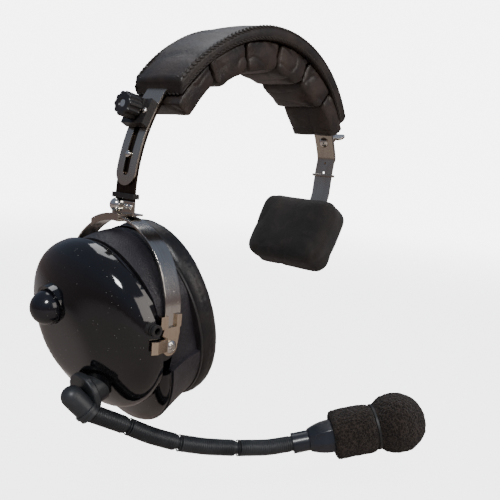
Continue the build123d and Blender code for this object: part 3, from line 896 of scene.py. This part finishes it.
class HEADSET_OT_gooseneck_ribs(bpy.types.Operator):
    """Close ribs along each length of the gooseneck"""
    bl_idname = "headset.gooseneck_ribs"
    bl_label = "Gooseneck ribs"

    def execute(self, context):
        settings = context.scene.headset_microphone
        for number, (body, first, last) in enumerate(NECK_RUNS):
            route = [Vector(point) * MM for point in NECK[first:last + 1]]
            if first:
                route[0] = route[0] + (route[1] - route[0]).normalized() * 0.7 * MM
            if last < len(NECK) - 1:
                route[-1] = route[-1] + (route[-2] - route[-1]).normalized() * 0.3 * MM
            if len(route) > 2:
                a, b, c = route
                run = [a, b - (b - a).normalized() * 6 * MM, b, b + (c - b).normalized() * 6 * MM, c]
            else:
                run = route
            line = bpy.data.curves.new("route", "CURVE")
            line.dimensions = "3D"
            spline = line.splines.new("NURBS")
            spline.points.add(len(run) - 1)
            for target, co in zip(spline.points, run):
                target.co = (*co, 1)
            spline.order_u = min(4, len(run))
            spline.use_endpoint_u = True
            spline.resolution_u = 24
            guide = bpy.data.objects.new("route", line)
            bpy.context.scene.collection.objects.link(guide)
            clear()
            bpy.ops.mesh.primitive_torus_add(major_segments=36, minor_segments=8, major_radius=4.02 * MM,
                                             minor_radius=settings.rib_height + 0.08 * MM)
            piece = bpy.context.object
            piece.data.transform(Matrix.Rotation(math.pi / 2, 4, "Y"))
            length = sum((b - a).length for a, b in zip(run, run[1:])) - (3 * MM if number == 3 else 0)
            count = max(2, int(length * 0.985 / settings.rib_pitch))
            modified(piece, "ARRAY", count=count, use_relative_offset=False, use_constant_offset=True,
                     constant_offset_displace=(settings.rib_pitch, 0, 0))
            modified(piece, "CURVE", object=guide, deform_axis="POS_X")
            bpy.data.objects.remove(guide)
            smooth(piece, 80)
            kept(piece, f"neck_ribs_{number + 1}", body, "neck_sleeve")
        return {"FINISHED"}


# ---------------------------------------------------------------- hardware
HARDWARE = (
    ("spring_band", "band_steel", 0.2), ("cup_arm_strip", "dark_steel", 0.2),
    ("clamp_block", "black_plastic", 0.5), ("arm_rivets", "plated_steel", 0.15),
    ("clamp_stud", "plated_steel", 0.2), ("clamp_washer", "plated_steel", 0.2),
    ("guide_rivet", "plated_steel", 0.2), ("keeper_ring", "black_plastic", 0.5),
    ("joint_plate", "strap_steel", 0.3), ("joint_screw", "plated_steel", 0.2),
    ("strap_saddle", "strap_steel", 0.4), ("stirrup_strap", "strap_steel", 0.25),
    ("pivot_bracket_front", "bracket_steel", 0.25), ("pivot_bracket_rear", "bracket_steel", 0.25),
    ("clamp_knob", "black_plastic", 0.4), ("back_housing", "shell_pebbled", 0.6),
    ("shoulder_shell", "shell_gloss", 0.5), ("dome_cover", "shell_gloss", 0.5),
    ("pivot_bosses", "shell_gloss", 0.4), ("pivot_screws", "plated_steel", 0.15),
    ("base_ring", "black_plastic", 0.4), ("cable_inlet", "black_rubber", 0.2),
    ("button_bezel", "shell_gloss", 0.6), ("talk_button", "boot_rubber", 0.3),
    ("boom_base", "boom_plastic", 0.4), ("boom_hub", "boom_plastic", 0.7),
    ("boom_elbow", "boom_plastic", 0.4), ("elbow_collar", "boom_plastic", 0.6),
    ("mic_collar", "mic_plastic", 0.6), ("mic_housing", "mic_plastic", 0.5),
    ("windscreen_band", "black_rubber", 0.3), ("pad_arm_strip", "band_steel", 0.2),
    ("pad_clamp_screw", "plated_steel", 0.2), ("pad_keeper_ring", "band_steel", 0.4),
    ("temple_plate", "black_plastic", 0.3), ("wing_nut", "plated_steel", 0.4),
)
LEFT_AS_CAD = (
    ("gooseneck_1", "neck_sleeve"), ("gooseneck_2", "neck_sleeve"), ("gooseneck_3", "neck_sleeve"),
    ("gooseneck_4", "neck_sleeve"), ("speaker_baffle", "black_plastic"), ("speaker_frame", "black_plastic"),
    ("speaker_magnet", "plated_steel"), ("chamber_foam", "ear_foam"), ("talk_switch", "black_plastic"),
    ("mic_capsule", "plated_steel"),
)


class HEADSET_OT_hardware(bpy.types.Operator):
    """Rigid pieces with broken edges and their own finishes"""
    bl_idname = "headset.hardware"
    bl_label = "Hardware"

    def execute(self, context):
        for node, finish_name, bevel in HARDWARE:
            hardware(node, finish_name, bevel)
        for node, finish_name in LEFT_AS_CAD:
            piece = frame["nodes"][node]
            piece.data.materials.clear()
            piece.data.materials.append(FINISHES[finish_name]())
        return {"FINISHED"}


# ---------------------------------------------------------------- stage
FLOOR_FADE = (0.5, 1.6)         # metres from the headset over which the floor fades out
FLOOR_ALPHA = 0.35
WARM_BELOW = (0.62, 0.33, 0.15, 1)
COOL_ABOVE = (0.62, 0.74, 1.0, 1)
CAMERA_PLACE = (293.7, 241.3, -52)      # mm
CAMERA_VIEW = (-0.7727, -0.6153, -0.1559)
CAMERA_ROLL = 4.71                      # degrees
CAMERA_LENS = 42.84                     # mm, on the sensor's width below
CAMERA_SENSOR = 36.0


def soft_light(name, place, aim, size, power, colour=(1, 1, 1)):
    data = bpy.data.lights.new(name, "AREA")
    data.shape = "RECTANGLE"
    data.size, data.size_y = size
    data.energy = power
    data.color = colour
    lamp = bpy.data.objects.new(name, data)
    lamp.location = place
    lamp.rotation_euler = (Vector(aim) - Vector(place)).to_track_quat("-Z", "Y").to_euler()
    bpy.context.scene.collection.objects.link(lamp)


class HEADSET_OT_stage(bpy.types.Operator):
    """Floor, soft light and camera"""
    bl_idname = "headset.stage"
    bl_label = "Stage"

    def execute(self, context):
        settings = context.scene.headset_stage
        low = CAD_BOX[0]
        clear()
        bpy.ops.mesh.primitive_plane_add(size=6, location=(0, 0, low.z - settings.floor_gap))
        floor = bpy.context.object
        floor.name = "stage_floor"
        surface = Surface("stage_floor")
        tone = surface.noise(3.0, 2.0)
        colour = tuple(settings.floor_colour)
        away = surface.node("ShaderNodeVectorMath", {"operation": "LENGTH"}, surface.stretched((1, 1, 0)), output=1)
        surface.finished(base_color=surface.mix(colour, tuple(c * 0.985 for c in colour), tone), roughness=0.7,
                         alpha=(1.0 - away.step(*FLOOR_FADE)) * FLOOR_ALPHA)
        floor.data.materials.append(surface.material)
        settled(floor)

        world = bpy.data.worlds.new("studio")
        world.use_nodes = True
        context.scene.world = world
        nodes, links = world.node_tree.nodes, world.node_tree.links
        nodes.clear()
        output = nodes.new("ShaderNodeOutputWorld")
        seen, around = nodes.new("ShaderNodeBackground"), nodes.new("ShaderNodeBackground")
        seen.inputs[0].default_value, seen.inputs[1].default_value = (1, 1, 1, 1), 6.0
        around.inputs[1].default_value = 0.3
        towards, height = nodes.new("ShaderNodeTexCoord"), nodes.new("ShaderNodeSeparateXYZ")
        blend, tint = nodes.new("ShaderNodeMapRange"), nodes.new("ShaderNodeMix")
        blend.inputs[1].default_value, blend.inputs[2].default_value = -0.35, 0.35
        tint.data_type = "RGBA"
        tint.inputs[6].default_value, tint.inputs[7].default_value = WARM_BELOW, COOL_ABOVE
        links.new(towards.outputs["Generated"], height.inputs[0])
        links.new(height.outputs[2], blend.inputs[0])
        links.new(blend.outputs[0], tint.inputs[0])
        links.new(tint.outputs[2], around.inputs[0])
        rays, either = nodes.new("ShaderNodeLightPath"), nodes.new("ShaderNodeMixShader")
        links.new(rays.outputs["Is Camera Ray"], either.inputs[0])
        links.new(around.outputs[0], either.inputs[1])
        links.new(seen.outputs[0], either.inputs[2])
        links.new(either.outputs[0], output.inputs[0])

        centre = (0.02, 0.02, -0.10)
        soft_light("key_light", (0.75, 0.55, 0.75), centre, (0.25, 0.25), settings.key_power)
        soft_light("fill_light", (-0.2, 1.0, 0.3), centre, (0.8, 0.6), settings.key_power * 0.5, (1, 0.93, 0.86))
        soft_light("top_light", (-0.3, -0.4, 1.0), centre, (0.7, 0.7), settings.key_power * 0.6)

        view = Vector(CAMERA_VIEW).normalized()
        right = view.cross(Vector((0, 0, 1))).normalized()
        up = right.cross(view)
        roll = math.radians(CAMERA_ROLL)
        right, up = right * math.cos(roll) + up * math.sin(roll), up * math.cos(roll) - right * math.sin(roll)
        data = bpy.data.cameras.new("camera")
        data.sensor_width = CAMERA_SENSOR
        data.lens = CAMERA_LENS
        data.clip_start = 0.01
        camera = bpy.data.objects.new("camera", data)
        camera.matrix_world = Matrix.Translation(Vector(CAMERA_PLACE) * MM) @ Matrix(
            (right, up, -view)).transposed().to_4x4()
        context.scene.collection.objects.link(camera)
        context.scene.camera = camera
        return {"FINISHED"}


class HEADSET_PT_builder(bpy.types.Panel):
    """Lists the steps that make the headset"""
    bl_idname = "HEADSET_PT_builder"
    bl_label = "Headset"
    bl_space_type = "VIEW_3D"
    bl_region_type = "UI"
    bl_category = "Headset"

    def draw(self, context):
        scene = context.scene
        for group in (scene.headset_pad, scene.headset_microphone, scene.headset_stage):
            for key in group.bl_rna.properties.keys():
                if key not in ("rna_type", "name"):
                    self.layout.prop(group, key)
        for step in STEPS:
            self.layout.operator(step.bl_idname)


STEPS = (
    HEADSET_OT_stage, HEADSET_OT_pad_cover, HEADSET_OT_pad_stitching, HEADSET_OT_crown_cushions,
    HEADSET_OT_ear_cushion, HEADSET_OT_temple_pad, HEADSET_OT_windscreen, HEADSET_OT_gooseneck_ribs,
    HEADSET_OT_hardware,
)
GROUPS = (
    (HeadPadSettings, "headset_pad"),
    (MicrophoneSettings, "headset_microphone"),
    (StageSettings, "headset_stage"),
)


def register():
    for group, name in GROUPS:
        bpy.utils.register_class(group)
        setattr(bpy.types.Scene, name, bpy.props.PointerProperty(type=group))
    for made in (*STEPS, HEADSET_PT_builder):
        bpy.utils.register_class(made)


def unregister():
    for made in reversed((*STEPS, HEADSET_PT_builder)):
        bpy.utils.unregister_class(made)
    for group, name in reversed(GROUPS):
        delattr(bpy.types.Scene, name)
        bpy.utils.unregister_class(group)


def main():
    register()
    for step in STEPS:
        family, name = step.bl_idname.split(".")
        getattr(getattr(bpy.ops, family), name)()


if __name__ == "__main__":
    main()
